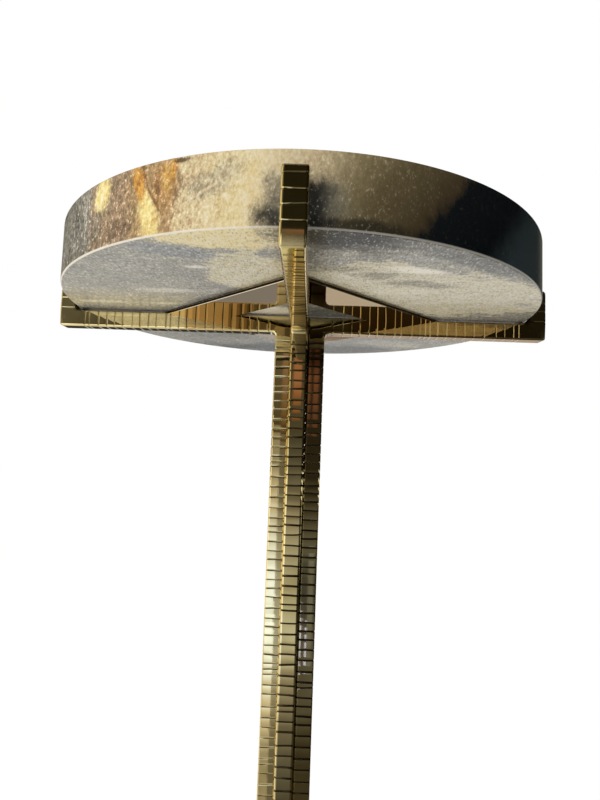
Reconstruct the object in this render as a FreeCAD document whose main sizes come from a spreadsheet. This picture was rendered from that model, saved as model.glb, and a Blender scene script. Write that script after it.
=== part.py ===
import FreeCAD, Part
import os
import Sketcher

# Wine table: a round stone slab carried by a cross of square textured brass bars.
# Millimetres. +Z is up and the origin is on the floor under the middle of the stem.
# The front is -Y, the right is +X.

# Driving sizes: name, size, meaning.
SIZES = [
    ("table_height", "550", "floor to the upper face of the stone"),
    ("top_diameter", "300", "stone slab across"),
    ("top_thickness", "34", "stone slab, upper face to underside"),
    ("top_arris", "1.2", "eased edge round both rims of the stone"),
    ("bar_width", "11", "square bar, across the flats"),
    ("bar_round", "1.2", "eased long edges of the bar"),
    ("corner_radius", "2", "outside of a brazed corner, ground round"),
    ("rim_clearance", "2", "between the rim of the stone and a tab"),
    ("tab_rise", "21", "tab above the underside of the stone"),
    ("frame_side", "134", "polished frame, outer side of the square"),
    ("strap_width", "32", "flat bar of the polished frame"),
    ("strap_thickness", "2", "flat bar of the polished frame"),
    ("strap_housing", "1.2", "depth that the straps are let into the arms"),
    ("bond_thickness", "0.6", "adhesive bed under the stone"),
    ("bond_inset", "2", "bare strap along both sides of an adhesive bed"),
    ("foot_reach", "150", "middle of the stem to the end of a foot"),
    ("felt_diameter", "8", "felt disc under a foot"),
    ("felt_thickness", "3", "felt disc under a foot"),
    ("felt_inset", "12", "end of a foot to the middle of its disc"),
]

# Quarter turns from +X, counted from above, and the corners half-way between them.
SIDES = ["right", "back", "left", "front"]
CORNERS = ["back_right", "back_left", "front_left", "front_right"]
QUARTER_TURN = 360 / len(SIDES)

doc = FreeCAD.newDocument("wine_table")
sheet = doc.addObject("Spreadsheet::Sheet", "Sizes")
for row, (alias, size, meaning) in enumerate(SIZES, start=1):
    sheet.set(f"A{row}", meaning)
    sheet.set(f"B{row}", size)
    sheet.setAlias(f"B{row}", alias)
doc.recompute()

# Levels and radii that follow from the driving sizes, as expressions on the sheet.
TOP_LOW = "(Sizes.table_height - Sizes.top_thickness)"
STRAP_TOP = f"({TOP_LOW} - Sizes.bond_thickness)"
STRAP_LOW = f"({STRAP_TOP} - Sizes.strap_thickness)"
ARM_TOP = f"({STRAP_LOW} + Sizes.strap_housing)"
ARM_LOW = f"({ARM_TOP} - Sizes.bar_width)"
TAB_TOP = f"({TOP_LOW} + Sizes.tab_rise)"
FOOT_LOW = "Sizes.felt_thickness"
FOOT_TOP = f"({FOOT_LOW} + Sizes.bar_width)"
STEM_IN = "(Sizes.bar_width / 2)"
STEM_OUT = f"({STEM_IN} + Sizes.bar_width)"
TAB_IN = "(Sizes.top_diameter / 2 + Sizes.rim_clearance)"
TAB_OUT = f"({TAB_IN} + Sizes.bar_width)"
TAB_ROUND = f"({TAB_OUT} - Sizes.corner_radius)"
FRAME_OUT = "(Sizes.frame_side / 2)"
FRAME_IN = f"({FRAME_OUT} - Sizes.strap_width)"
# Where the straps cross an arm: from the window's corner, less half the arm, to the tip.
HOUSING_IN = f"({FRAME_IN} * sqrt(2) - {STEM_IN})"
HOUSING_OUT = f"({FRAME_OUT} * sqrt(2))"
# From the square corner to the middle of its round, as a share of the radius.
ROUND_CUT_SHARE = "(1 - sqrt(1 / 2))"
# A direction with more than this share of its length along an axis follows that axis.
FOLLOWS_SHARE = 0.5

nodes = []


def amount(expression):
    """The size that an expression on the sheet gives now."""
    return float(sheet.evalExpression(expression))


def turn_about_stem(piece, turn):
    """Carry a piece that was placed on the +X side round to its own side."""
    spin = FreeCAD.Rotation(turn, 0, 0)
    piece.Placement = FreeCAD.Placement(spin.multVec(piece.Placement.Base), spin)


def add_node(piece, label):
    """Name a finished piece and keep it for writing."""
    piece.Label = label
    nodes.append(piece)


def new_sketch(body, role):
    """A sketch on one of the body's own planes."""
    sketch = body.newObject("Sketcher::SketchObject", f"{body.Name}_outline")
    plane = next(item for item in body.Origin.OriginFeatures if item.Role == role)
    sketch.AttachmentSupport = [(plane, "")]
    sketch.MapMode = "FlatFace"
    return sketch


def hold(sketch, kind, geometry, point, expression):
    """Hold one coordinate of a sketch point to an expression on the sheet."""
    number = sketch.addConstraint(Sketcher.Constraint(kind, -1, 1, geometry, point, amount(expression)))
    sketch.setExpression(f"Constraints[{number}]", expression)


def round_middle(start, end, centre_place):
    """The point half-way along a round between two points, from its centre's first axis."""
    chord_middle = (start + end) * 0.5
    along = end - start
    across = FreeCAD.Vector(-along.y, along.x, 0)
    centre = chord_middle + across * ((amount(centre_place) - chord_middle.x) / across.x)
    outward = (chord_middle - centre).normalize()
    return centre + outward * (start - centre).Length


def draw_outline(sketch, points, rounds):
    """Closed outline through points given as expressions. Rounds gives, by the number of
    its first point, the place along the first axis of the centre of a curved edge."""
    places = [FreeCAD.Vector(amount(x), amount(y), 0) for x, y in points]
    count = len(places)
    for index, start in enumerate(places):
        end = places[(index + 1) % count]
        edge = Part.LineSegment(start, end)
        if index in rounds:
            edge = Part.Arc(start, round_middle(start, end, rounds[index]), end)
        sketch.addGeometry(edge, False)
    # Every arc is kept anticlockwise, so it may begin at its second point.
    first_ends = []
    for index, start in enumerate(places):
        kept = sketch.Geometry[index]
        forward = (kept.StartPoint - start).Length < (kept.EndPoint - start).Length
        first_ends.append(1 if forward else 2)
    for index in range(count):
        after = (index + 1) % count
        last_end = 3 - first_ends[index]
        sketch.addConstraint(Sketcher.Constraint("Coincident", index, last_end, after, first_ends[after]))
    for index, (x, y) in enumerate(points):
        hold(sketch, "DistanceX", index, first_ends[index], x)
        hold(sketch, "DistanceY", index, first_ends[index], y)
    for index, centre_place in rounds.items():
        hold(sketch, "DistanceX", index, 3, centre_place)


def mitre_edges(shape):
    """Edges of the sawn faces: flat, and neither level nor upright."""
    edges = []
    for face in shape.Faces:
        normal = face.normalAt(0, 0)
        flat = isinstance(face.Surface, Part.Plane)
        if flat and min(abs(normal.x), abs(normal.z)) > FOLLOWS_SHARE:
            edges.extend(face.Edges)
    return edges


def eased_edges(shape):
    """Every edge of a bar but those of its mitres and the seams of its rounds."""
    mitred = mitre_edges(shape)
    names = []
    for number, edge in enumerate(shape.Edges, start=1):
        faces = shape.ancestorsOfType(edge, Part.Face)
        crosswise = abs(edge.tangentAt(edge.FirstParameter).y) > FOLLOWS_SHARE
        curved = any(not isinstance(face.Surface, Part.Plane) for face in faces)
        sawn = any(edge.isSame(other) for other in mitred)
        if not sawn and not (crosswise and curved):
            names.append(f"Edge{number}")
    return names


def add_bar(label, turn, points, rounds):
    """A length of square bar: side outline, padded to its width, eased, then turned."""
    body = doc.addObject("PartDesign::Body", label)
    sketch = new_sketch(body, "XZ_Plane")
    draw_outline(sketch, points, rounds)
    pad = body.newObject("PartDesign::Pad", f"{label}_pad")
    pad.Profile = sketch
    pad.SideType = "Symmetric"
    pad.setExpression("Length", "Sizes.bar_width")
    doc.recompute()
    ease = body.newObject("PartDesign::Fillet", f"{label}_ease")
    ease.Base = (pad, eased_edges(pad.Shape))
    ease.setExpression("Radius", "Sizes.bar_round")
    body.Tip = ease
    doc.recompute()
    turn_about_stem(body, turn)
    add_node(body, label)
    return body


def cut_housing(body):
    """A shallow step across the top of an arm, in which the straps lie."""
    sketch = new_sketch(body, "XZ_Plane")
    above = f"({ARM_TOP} + Sizes.strap_housing)"
    corners = [
        (HOUSING_IN, STRAP_LOW),
        (HOUSING_OUT, STRAP_LOW),
        (HOUSING_OUT, above),
        (HOUSING_IN, above),
    ]
    draw_outline(sketch, corners, {})
    whole = body.Tip.Shape.Volume
    pocket = body.newObject("PartDesign::Pocket", f"{body.Name}_housing")
    pocket.Profile = sketch
    pocket.SideType = "Symmetric"
    pocket.setExpression("Length", "Sizes.bar_width")
    body.Tip = pocket
    doc.recompute()
    if pocket.Shape.Volume >= whole:
        raise RuntimeError(f"{body.Label} has no housing")


def mitred_flat(label, turn, plan, thickness, level):
    """A flat of the square frame, with both ends at half a right angle, lying at a level."""
    outer, inner, end_gap = plan
    body = doc.addObject("PartDesign::Body", label)
    sketch = new_sketch(body, "XY_Plane")
    far = amount(outer)
    near = amount(inner)
    gap = amount(end_gap)
    corners = [(far, -far + gap), (far, far - gap), (near, near - gap), (near, -near + gap)]
    places = [FreeCAD.Vector(x, y, 0) for x, y in corners]
    for index, start in enumerate(places):
        after = (index + 1) % len(places)
        sketch.addGeometry(Part.LineSegment(start, places[after]), False)
    for index in range(len(places)):
        after = (index + 1) % len(places)
        sketch.addConstraint(Sketcher.Constraint("Coincident", index, 2, after, 1))
    # Both long sides are upright and lie alike on either side of the first axis.
    for long_side, place in ((0, outer), (2, inner)):
        sketch.addConstraint(Sketcher.Constraint("Symmetric", long_side, 1, long_side, 2, -1))
        hold(sketch, "DistanceX", long_side, 1, place)
    for corner, place in ((1, outer), (2, inner)):
        hold(sketch, "DistanceY", corner, 1, f"({place} - {end_gap})")
    pad = body.newObject("PartDesign::Pad", f"{label}_pad")
    pad.Profile = sketch
    pad.setExpression("Length", thickness)
    body.setExpression("Placement.Base.z", level)
    body.Tip = pad
    doc.recompute()
    turn_about_stem(body, turn)
    return body


# The bars, as side outlines on the +X side that are turned to the four sides.
corner_cut_x = f"({TAB_OUT} - Sizes.corner_radius * {ROUND_CUT_SHARE})"
corner_cut_z = f"({ARM_LOW} + Sizes.corner_radius * {ROUND_CUT_SHARE})"
ARM_POINTS = [
    (STEM_IN, ARM_TOP),
    (STEM_OUT, ARM_LOW),
    (TAB_ROUND, ARM_LOW),
    (corner_cut_x, corner_cut_z),
    (TAB_IN, ARM_TOP),
]
ARM_ROUNDS = {2: TAB_ROUND}
TAB_POINTS = [
    (TAB_IN, ARM_TOP),
    (corner_cut_x, corner_cut_z),
    (TAB_OUT, f"({ARM_LOW} + Sizes.corner_radius)"),
    (TAB_OUT, f"({TAB_TOP} - Sizes.corner_radius)"),
    (TAB_ROUND, TAB_TOP),
    (TAB_IN, TAB_TOP),
]
TAB_ROUNDS = {1: TAB_ROUND, 3: TAB_ROUND}
LEG_POINTS = [
    (STEM_IN, ARM_TOP),
    (STEM_IN, FOOT_LOW),
    (STEM_OUT, FOOT_TOP),
    (STEM_OUT, ARM_LOW),
]
FOOT_POINTS = [
    (STEM_IN, FOOT_LOW),
    ("Sizes.foot_reach", FOOT_LOW),
    ("Sizes.foot_reach", FOOT_TOP),
    (STEM_OUT, FOOT_TOP),
]
for quarter, side in enumerate(SIDES):
    turn = quarter * QUARTER_TURN
    cut_housing(add_bar(f"arm_{side}", turn, ARM_POINTS, ARM_ROUNDS))
    add_bar(f"tab_{side}", turn, TAB_POINTS, TAB_ROUNDS)
    add_bar(f"leg_{side}", turn, LEG_POINTS, {})
    add_bar(f"foot_{side}", turn, FOOT_POINTS, {})

# The core of the stem, between the four uprights.
core = doc.addObject("Part::Box", "stem_core")
core.setExpression("Length", "Sizes.bar_width")
core.setExpression("Width", "Sizes.bar_width")
core.setExpression("Height", f"{ARM_TOP} - {FOOT_LOW}")
core.setExpression("Placement.Base.x", f"-{STEM_IN}")
core.setExpression("Placement.Base.y", f"-{STEM_IN}")
core.setExpression("Placement.Base.z", FOOT_LOW)
add_node(core, "stem_core")

# The polished square frame, its mitres on the arms, and the adhesive beds on it. A plan is
# the outer side, the inner side and what is left out at each mitred end.
STRAP_PLAN = (FRAME_OUT, FRAME_IN, "0")
BED_PLAN = (f"({FRAME_OUT} - Sizes.bond_inset)", f"({FRAME_IN} + Sizes.bond_inset)", "Sizes.bond_inset")
beds = []
for quarter, corner in enumerate(CORNERS):
    turn = QUARTER_TURN / 2 + quarter * QUARTER_TURN
    strap = mitred_flat(f"strap_{corner}", turn, STRAP_PLAN, "Sizes.strap_thickness", STRAP_LOW)
    add_node(strap, f"strap_{corner}")
    beds.append(mitred_flat(f"bed_{corner}", turn, BED_PLAN, "Sizes.bond_thickness", STRAP_TOP))
bond_pads = doc.addObject("Part::Compound", "bond_pads")
bond_pads.Links = beds
add_node(bond_pads, "bond_pads")

# The stone slab, sawn round and eased on both rims.
stone = doc.addObject("PartDesign::Body", "stone_top")
disc_sketch = new_sketch(stone, "XY_Plane")
disc_radius = amount("Sizes.top_diameter / 2")
disc_sketch.addGeometry(Part.Circle(FreeCAD.Vector(), FreeCAD.Vector(0, 0, 1), disc_radius), False)
disc_sketch.addConstraint(Sketcher.Constraint("Coincident", 0, 3, -1, 1))
radius_number = disc_sketch.addConstraint(Sketcher.Constraint("Radius", 0, disc_radius))
disc_sketch.setExpression(f"Constraints[{radius_number}]", "Sizes.top_diameter / 2")
slab = stone.newObject("PartDesign::Pad", "stone_slab")
slab.Profile = disc_sketch
slab.setExpression("Length", "Sizes.top_thickness")
doc.recompute()
rims = [number for number, edge in enumerate(slab.Shape.Edges, start=1) if edge.isClosed()]
arris = stone.newObject("PartDesign::Fillet", "stone_arris")
arris.Base = (slab, [f"Edge{number}" for number in rims])
arris.setExpression("Radius", "Sizes.top_arris")
stone.Tip = arris
stone.setExpression("Placement.Base.z", TOP_LOW)
add_node(stone, "stone_top")

# Felt discs under the ends of the feet.
for quarter, side in enumerate(SIDES):
    felt = doc.addObject("Part::Cylinder", f"felt_{side}")
    felt.setExpression("Radius", "Sizes.felt_diameter / 2")
    felt.setExpression("Height", "Sizes.felt_thickness")
    felt.Placement.Base.x = amount("Sizes.foot_reach - Sizes.felt_inset")
    turn_about_stem(felt, quarter * QUARTER_TURN)
    add_node(felt, f"felt_{side}")

doc.recompute()
for item in doc.Objects:
    if "Invalid" in item.State or "Error" in item.State:
        raise RuntimeError(f"{item.Label} did not build")
os.makedirs("parts", exist_ok=True)
for piece in nodes:
    if piece.Shape.isNull() or not piece.Shape.isValid():
        raise RuntimeError(f"{piece.Label} has no sound shape")
    piece.Shape.exportStep(f"parts/{piece.Label}.step")
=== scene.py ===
import math
import random
from collections import namedtuple

import bpy
from mathutils import Matrix, Vector


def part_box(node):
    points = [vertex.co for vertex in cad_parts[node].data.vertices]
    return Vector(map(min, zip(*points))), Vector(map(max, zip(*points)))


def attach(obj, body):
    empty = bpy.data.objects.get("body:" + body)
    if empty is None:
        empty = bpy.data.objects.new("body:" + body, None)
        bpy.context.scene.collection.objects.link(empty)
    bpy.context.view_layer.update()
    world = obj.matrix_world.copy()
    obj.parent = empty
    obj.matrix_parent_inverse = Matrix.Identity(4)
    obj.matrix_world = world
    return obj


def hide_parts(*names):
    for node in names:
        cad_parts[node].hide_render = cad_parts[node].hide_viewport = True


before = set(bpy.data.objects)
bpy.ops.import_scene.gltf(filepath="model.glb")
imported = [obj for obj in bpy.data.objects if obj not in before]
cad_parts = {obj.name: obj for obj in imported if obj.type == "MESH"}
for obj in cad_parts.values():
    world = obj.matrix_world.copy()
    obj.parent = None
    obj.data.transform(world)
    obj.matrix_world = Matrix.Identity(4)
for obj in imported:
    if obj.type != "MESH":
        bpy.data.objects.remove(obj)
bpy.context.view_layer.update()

# Wine table: a thick round stone slab on a cross of square brass bars with hand-cut
# grooves. Metres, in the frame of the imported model: -Y is the front, +Z is up.
MM = 0.001
SIDES = ["right", "back", "left", "front"]
CORNERS = ["back_right", "back_left", "front_left", "front_right"]
QUARTER = math.pi / 2

# Levels and radii, read from the solids of the +X side.
arm_low, arm_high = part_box("arm_right")
tab_low, tab_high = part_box("tab_right")
foot_low, foot_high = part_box("foot_right")
stone_low, stone_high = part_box("stone_top")
BAR = arm_high.z - arm_low.z
STEM_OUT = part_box("leg_right")[1].x
ARM_LEVEL = (arm_low.z + arm_high.z) / 2
FOOT_LEVEL = (foot_low.z + foot_high.z) / 2
TAB_MIDDLE = tab_high.x - BAR / 2
TAB_FACE = tab_low.x
STONE_RADIUS = stone_high.x
STONE_THICK = stone_high.z - stone_low.z


# Colours and nodes

def linear(hex_colour):
    """An sRGB hex colour as linear red, green, blue and alpha."""
    parts = [int(hex_colour[i:i + 2], 16) / 255 for i in (1, 3, 5)]
    return [p / 12.92 if p <= 0.04045 else ((p + 0.055) / 1.055) ** 2.4 for p in parts] + [1.0]


# Sockets of a Mix node go by number: 0 is the share, 6 and 7 are its colours and 2 and 3 its
# plain numbers. Its colour comes out at 2.
def put(tree, kind, links=None, out=0, stops=(), **settings):
    """Add a node with its settings. Links gives a socket, by name or number, a value or the
    output of another node. What comes back is one output, or the node where it has none."""
    node = tree.nodes.new(f"ShaderNode{kind}")
    for name, value in settings.items():
        setattr(node, name, value)
    for socket, value in (links or {}).items():
        if isinstance(value, bpy.types.NodeSocket):
            tree.links.new(value, node.inputs[socket])
        else:
            node.inputs[socket].default_value = value
    for number, (place, colour) in enumerate(stops):
        elements = node.color_ramp.elements
        stop = elements[number] if number < len(elements) else elements.new(place)
        stop.position = place
        stop.color = linear(colour)
    return node.outputs[out] if node.outputs else node


def new_tree(name):
    """A material with an empty node tree."""
    material = bpy.data.materials.new(name)
    material.use_nodes = True
    material.node_tree.nodes.clear()
    return material, material.node_tree


def colours_along(tree, value, stops):
    """Colours that change with a value. Stops are pairs of the value and its colour."""
    low, high = stops[0][0], stops[-1][0]
    share = put(tree, "MapRange", {"Value": value, "From Min": low, "From Max": high})
    shares = [((at - low) / (high - low), colour) for at, colour in stops]
    return put(tree, "ValToRGB", {0: share}, stops=shares)


def bearing(tree, axes):
    """The way round the table from the front, to the right: in radians and in degrees."""
    forward = put(tree, "Math", {0: axes[1], 1: -1.0}, operation="MULTIPLY")
    lean = put(tree, "Math", {0: axes[0], 1: forward}, operation="ARCTAN2")
    return lean, put(tree, "Math", {0: lean}, operation="DEGREES")


# Materials

# Draw lines are finer than this on real bar. They are drawn as coarse as shows.
DRAW_LINE_LENGTH = 40 * MM
DRAW_LINE_WIDTH = 0.5 * MM
DRAW_LINE_DEPTH = 0.02 * MM
TARNISH_SIZE = 28 * MM
# Painted shade: the hub is darkened brown at its front right, a little below the arms.
HUB_SHADE_OFFSET = Vector((14 * MM, -9 * MM, -11.6 * MM))
HUB_SHADE_PLACE = Vector((0, 0, arm_low.z)) + HUB_SHADE_OFFSET
HUB_SHADE_REACH = 23 * MM
# Where the painted shade begins and where it is full, as shares of its reach.
HUB_SHADE_EDGE_SHARES = (1.4, 0.9)


def cut_brass():
    """Brass bar, drawn, polished and then cut across by hand. It gives the eye a deep olive
    gold that mirrors the room, with soft draw lines along it and dirt in the cuts. Painted shade
    darkens some cuts and the front right of the hub, and a deeper gold on the arms is a painted
    reflection."""
    material, tree = new_tree("antique_brass_hand_cut")
    way = put(tree, "Attribute", out="Vector", attribute_name="along_bar")
    place = put(tree, "TexCoord", out="Object")
    finish = put(tree, "Attribute", out="Vector", attribute_name="finish")
    dirt_and_shade, deep_reflection, dull = put(tree, "SeparateXYZ", {0: finish}).node.outputs
    line_scale = (1 / DRAW_LINE_LENGTH, 1 / DRAW_LINE_WIDTH, 0)
    line_way = put(tree, "VectorMath", {0: way, 1: line_scale}, operation="MULTIPLY")
    draw_lines = put(tree, "TexNoise", {"Vector": line_way, "Scale": 1.0, "Detail": 2.0})
    tarnish = put(tree, "TexNoise", {"Vector": place, "Scale": 1 / TARNISH_SIZE, "Detail": 4.0})
    tarnish_share = put(tree, "MapRange", {"Value": tarnish, "From Min": 0.42, "From Max": 0.66})
    gold = put(tree, "Mix", {0: tarnish_share, 6: linear("#E7D69F"), 7: linear("#CDBA82")}, 2,
               data_type="RGBA")
    # Painted reflection: a deeper gold on the arms near the hub.
    gold = put(tree, "Mix", {0: deep_reflection, 6: gold, 7: linear("#C09A5C")}, 2, data_type="RGBA")
    # Painted shade at the front right of the hub, with a ragged edge.
    from_hub_shade = put(tree, "VectorMath", {0: place, 1: HUB_SHADE_PLACE}, "Value", operation="DISTANCE")
    hub_shade_edge = put(tree, "Math", {0: tarnish, 1: HUB_SHADE_REACH}, operation="MULTIPLY")
    hub_shade_depth = put(tree, "Math", {0: from_hub_shade, 1: hub_shade_edge}, operation="ADD")
    begin, full = [edge_share * HUB_SHADE_REACH for edge_share in HUB_SHADE_EDGE_SHARES]
    hub_shade_share = put(tree, "MapRange", {"Value": hub_shade_depth, "From Min": begin, "From Max": full,
                                         "To Max": 0.85})
    gold = put(tree, "Mix", {0: hub_shade_share, 6: gold, 7: linear("#4E3A18")}, 2, data_type="RGBA")
    # Dirt in the cuts, with painted shade in the shaded cuts and where the arms meet the tabs.
    colour = put(tree, "Mix", {0: dirt_and_shade, 6: gold, 7: linear("#3A2F1C")}, 2, data_type="RGBA")
    rough = put(tree, "MapRange", {"Value": draw_lines, "To Min": 0.015, "To Max": 0.035})
    rough = put(tree, "Mix", {0: dull, 2: rough, 3: 0.3})
    bump = put(tree, "Bump", {"Height": draw_lines, "Strength": 0.05, "Distance": DRAW_LINE_DEPTH})
    shader = put(tree, "BsdfPrincipled",
                 {"Base Color": colour, "Metallic": 1.0, "Roughness": rough, "Normal": bump})
    put(tree, "OutputMaterial", {"Surface": shader})
    return material


WHEEL_WAVE = 30 * MM
WHEEL_DEPTH = 0.15 * MM
# Hairlines and felt fibres are finer in truth. They too are drawn as coarse as shows.
HAIRLINE_LENGTH = 60 * MM
HAIRLINE_WIDTH = 0.5 * MM


def mirror_brass():
    """Flat bar, ground and polished to a mirror. It gives the eye the arms and the stem over
    again, dimmed and a little wavy from the polishing wheel, with a few fine hairlines."""
    material, tree = new_tree("mirror_polished_brass")
    place = put(tree, "TexCoord", out="Object")
    wheel = put(tree, "TexNoise", {"Vector": place, "Scale": 1 / WHEEL_WAVE, "Detail": 1.0})
    hair_scale = (1 / HAIRLINE_LENGTH, 1 / HAIRLINE_WIDTH, 1 / HAIRLINE_LENGTH)
    hair_way = put(tree, "VectorMath", {0: place, 1: hair_scale}, operation="MULTIPLY")
    hairs = put(tree, "TexNoise", {"Vector": hair_way, "Scale": 1.0, "Detail": 2.0})
    colour = put(tree, "Mix", {0: wheel, 6: linear("#A6967D"), 7: linear("#B2A189")}, 2,
                 data_type="RGBA")
    rough = put(tree, "MapRange",
                {"Value": hairs, "From Min": 0.5, "From Max": 0.8, "To Min": 0.03, "To Max": 0.1})
    bump = put(tree, "Bump", {"Height": wheel, "Strength": 0.05, "Distance": WHEEL_DEPTH})
    # The narrow side faces are dark and dull, and the first bevel off each broad face is painted pale
    # as a painted highlight.
    up = put(tree, "SeparateXYZ", {0: put(tree, "NewGeometry", out="Normal")}, 2)
    level = put(tree, "Math", {0: up}, operation="ABSOLUTE")
    dark_side_share = put(tree, "MapRange", {"Value": level, "From Min": 0.4, "From Max": 0.2})
    bevel_highlight_share = put(tree, "MapRange", {"Value": level, "From Min": 0.97, "From Max": 0.9})
    # Painted highlight along the eased edges of the straps.
    colour = put(tree, "Mix", {0: bevel_highlight_share, 6: colour, 7: linear("#F0E4C8")}, 2, data_type="RGBA")
    colour = put(tree, "Mix", {0: dark_side_share, 6: colour, 7: linear("#2B251D")}, 2, data_type="RGBA")
    rough = put(tree, "Mix", {0: dark_side_share, 2: rough, 3: 0.5})
    # At a flat view brass stays warm and does not turn white.
    sockets = {"Base Color": colour, "Metallic": 1.0, "Roughness": rough, "Normal": bump}
    sockets["Specular Tint"] = linear("#E2D8C8")
    put(tree, "OutputMaterial", {"Surface": put(tree, "BsdfPrincipled", sockets)})
    return material


# Colours round the rim of the slab, by degrees from the front, to the right.
RIM_COLOURS = [
    (-180, "#77746A"), (-90, "#656560"), (-45, "#7C7C77"), (-42.5, "#86847E"), (-41, "#96846F"),
    (-31, "#937C62"), (-28.8, "#A1875C"), (-20.5, "#B29468"), (-19.2, "#CCBA94"), (-10, "#EADEB4"),
    (-6, "#ECDEB6"), (3, "#D2C29E"), (8, "#8A7D5C"), (13, "#655A3F"), (24, "#453A28"),
    (26.5, "#14181A"), (40, "#0B0F12"), (48, "#2C3638"), (90, "#3A4142"), (180, "#77746A"),
]
# The black seam on the right leans: this many degrees from the lower edge to the upper.
SEAM_LEAN_DEGREES = 12.3
# Patches on the rim: degrees from the front and height in millimetres, half width and half
# height in millimetres, lean in degrees, softness and strength as shares, colour.
RIM_PATCHES = [
    ((-43.8, 22.0), (1.6, 10.0), 0, 0.5, 0.6, "#B4B5B0"),
    ((-38.2, 26.0), (5.6, 8.5), -12, 0.45, 1.0, "#EBDFA0"),
    ((-39.4, 12.5), (4.6, 7.2), 0, 0.25, 0.8, "#4A423C"),
    ((-39.4, 12.5), (3.0, 5.0), 0, 0.4, 0.9, "#94897A"),
    ((-33.4, 6.5), (9.0, 4.5), 0, 0.4, 0.7, "#6A5443"),
    ((-22.6, 22.0), (7.0, 11.0), 0, 0.3, 0.85, "#A67F4A"),
    ((-25.6, 10.5), (5.2, 12.0), 15, 0.45, 1.0, "#E4D38C"),
    ((-27.9, 25.5), (3.2, 8.5), 16, 0.5, 0.95, "#CC9530"),
    ((-22.1, 26.0), (2.4, 7.0), 5, 0.6, 0.85, "#CEA550"),
    ((-20.7, 29.0), (2.0, 5.0), 0, 0.5, 0.8, "#CB942B"),
    ((-26.5, 26.8), (4.4, 0.8), -72, 0.5, 0.9, "#7A4818"),
    ((-24.6, 17.0), (7.5, 0.9), -57, 0.5, 0.9, "#7F5221"),
    ((-23.9, 22.0), (1.3, 5.0), 10, 0.5, 0.75, "#80552B"),
    ((-19.7, 24.9), (4.3, 0.8), -70, 0.6, 0.6, "#8A7558"),
    ((-20.0, 17.2), (4.1, 0.8), 62, 0.6, 0.6, "#8A7558"),
    ((-19.1, 32.0), (4.0, 1.0), 0, 0.4, 0.85, "#4B3A22"),
    ((-13.6, 21.0), (13.0, 5.5), 27, 0.5, 0.5, "#9E9683"),
    ((-14.9, 17.3), (11.5, 0.6), 27, 0.6, 0.55, "#EFE4C6"),
    ((-3.4, 4.5), (7.5, 7.5), 25, 0.8, 0.95, "#1C2329"),
    ((-2.9, 15.0), (4.5, 8.5), 15, 0.8, 0.7, "#6B6D6C"),
    ((3.0, 10.0), (9.0, 12.5), 0, 0.5, 0.95, "#1A1F24"),
    ((6.4, 11.5), (5.5, 8.5), -10, 0.7, 0.6, "#83806F"),
    ((10.0, 2.0), (24.0, 3.6), 0, 0.5, 0.75, "#20201C"),
]
# Patches on the underside: middle and half sizes in millimetres, then as above.
UNDERSIDE_PATCHES = [
    ((-26, -142), (42, 17), -4, 0.2, 0.95, "#F6E8B2"),
    ((-55, -119), (26, 8), 19, 0.2, 0.9, "#8B8F92"),
    ((-24, -90), (24, 31), -14, 0.1, 0.95, "#DAD3B4"),
    ((-51, -98), (6, 2.5), 0, 0.6, 0.9, "#F4F2EA"),
    ((-76, -54), (16, 4), 0, 0.6, 0.8, "#D9D9D2"),
    ((-124, -24), (15, 3), 0, 0.6, 0.8, "#DDD9CC"),
    ((-80, -24), (18, 3), 0, 0.6, 0.5, "#DAD8CC"),
    ((60, -60), (85, 48), 10, 0.07, 0.95, "#DDD7BE"),
    ((62, -102), (16, 5), 10, 0.4, 1.0, "#FBF8EA"),
    ((20, -101), (12, 5), 0, 0.5, 0.65, "#8E866B"),
    ((39, -93), (13, 5), 0, 0.5, 0.8, "#98927E"),
    ((66, -80), (20, 6), 8, 0.5, 0.75, "#858069"),
    ((57, -66), (15, 6), 0, 0.5, 0.85, "#E9E4CB"),
    # Painted shadow on the underside just right of the near tab.
    ((20, -142), (30, 17), 0, 0.5, 0.95, "#1C1C1A"),
    ((84, -116), (56, 8), 33, 0.5, 0.75, "#5C5E5C"),
    ((56, -119), (12, 3), 12, 0.6, 0.5, "#B6B8B8"),
    # Painted light on the underside left of the near arm, in the window between the straps.
    ((-20, -12), (16, 12), 0, 0.3, 0.95, "#FBF8F0"),
    # Painted shadow of the near arm on the underside, right of it.
    ((20, -14), (14, 16), 0, 0.4, 0.9, "#55554F"),
    ((-66, 96), (32, 10), 0, 0.4, 0.9, "#A6A6A0"),
    ((74, 88), (28, 12), 10, 0.4, 0.9, "#BAB8AE"),
    ((91, 98), (12, 4), 0, 0.6, 0.8, "#CDD2A6"),
    ((0, 124), (90, 22), 0, 0.4, 0.85, "#444949"),
]
# Grains and streaks of the stone.
RIM_GRAIN = (0.9 * MM, 0.9 * MM, 1.3 * MM)
RIM_CRYSTAL = (1.7 * MM, 1.7 * MM, 2.4 * MM)
RIM_SEAM = (6 * MM, 6 * MM, 10 * MM)
RIM_STREAK = (11 * MM, 1.8 * MM, 1 * MM)
RIM_STREAK_LEAN_DEGREES = 68
UNDERSIDE_STREAK = (14 * MM, 5 * MM, 14 * MM)
UNDERSIDE_CLOUD = 36 * MM
# Specks are drawn longer from front to back than they are, so that they show at a flat view.
UNDERSIDE_SPECK = (0.9 * MM, 2.4 * MM, 0.9 * MM)
UNDERSIDE_FLAKE = (4.0 * MM, 1.8 * MM, 4.0 * MM)
GRAIN_DEPTH = 0.1 * MM
# Stretches of the rim, in degrees from the front, over which its finish changes.
RAGGED_TO_CLEAN = (-30.0, 10.0)
UPRIGHT_TO_LEANING = (4.0, 18.0)
GRAINY_TO_PLAIN = (-45.0, 25.0)
DULL_TO_GLOSSY = (-25.0, 24.0)
SIDE_TO_BACK = (100.0, 170.0)
# Where the painted highlight on the lower edge fades, from the lit left to the right.
LIT_TO_UNLIT_ARRIS = (-15.0, 4.0)
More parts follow.
